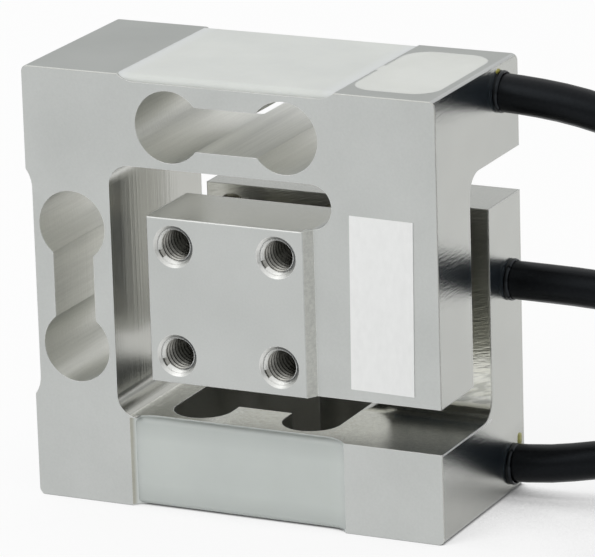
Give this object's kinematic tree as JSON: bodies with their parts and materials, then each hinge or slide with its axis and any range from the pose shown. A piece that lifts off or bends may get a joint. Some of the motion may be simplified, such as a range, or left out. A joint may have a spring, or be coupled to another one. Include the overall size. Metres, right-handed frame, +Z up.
{
  "type": "multi-axis force sensor",
  "caption": "Three-axis force sensor: one machined aluminium block with bending arms in series, gauges under white silicone, a tapped platform front and back, and black cables.",
  "frame": {"origin": "under the middle of the block, on the plane of its lower face", "axes": "+X to the cable side, -Y out of the front platform, +Z up to the wiring pocket's face"},
  "size_m": [0.1543, 0.0692, 0.064],
  "materials": {
    "aluminium": "satin, milled",
    "silicone": "satin white silicone",
    "cable_jacket": "satin black",
    "potting": "glossy black",
    "strap": "woven black",
    "gauge_foil": "amber film",
    "board": "green solder resist",
    "label": "white paper",
    "red_lead": "satin",
    "black_lead": "satin",
    "green_lead": "satin",
    "white_lead": "satin"
  },
  "bodies": {
    "root": {"black_leads": "black_lead", "blank_label": "label", "coil_tie_1": "strap", "coil_tie_2": "strap", "coil_tie_3": "strap", "green_leads": "green_lead", "left_gauge_sealant": "silicone", "left_strain_gauges": "gauge_foil", "lower_cable": "cable_jacket", "lower_cable_bead": "potting", "lower_cable_coil": "cable_jacket", "lower_front_gauge_sealant": "silicone", "lower_front_strain_gauges": "gauge_foil", "lower_rear_gauge_sealant": "silicone", "lower_rear_strain_gauges": "gauge_foil", "middle_cable": "cable_jacket", "middle_cable_bead": "potting", "middle_cable_coil": "cable_jacket", "red_leads": "red_lead", "sensor_body": "aluminium", "terminal_board": "board", "top_cable": "cable_jacket", "top_cable_bead": "potting", "top_cable_coil": "cable_jacket", "top_gauge_sealant": "silicone", "top_strain_gauges": "gauge_foil", "white_leads": "white_lead", "wiring_pocket_sealant": "silicone"}
  },
  "joints": []
}
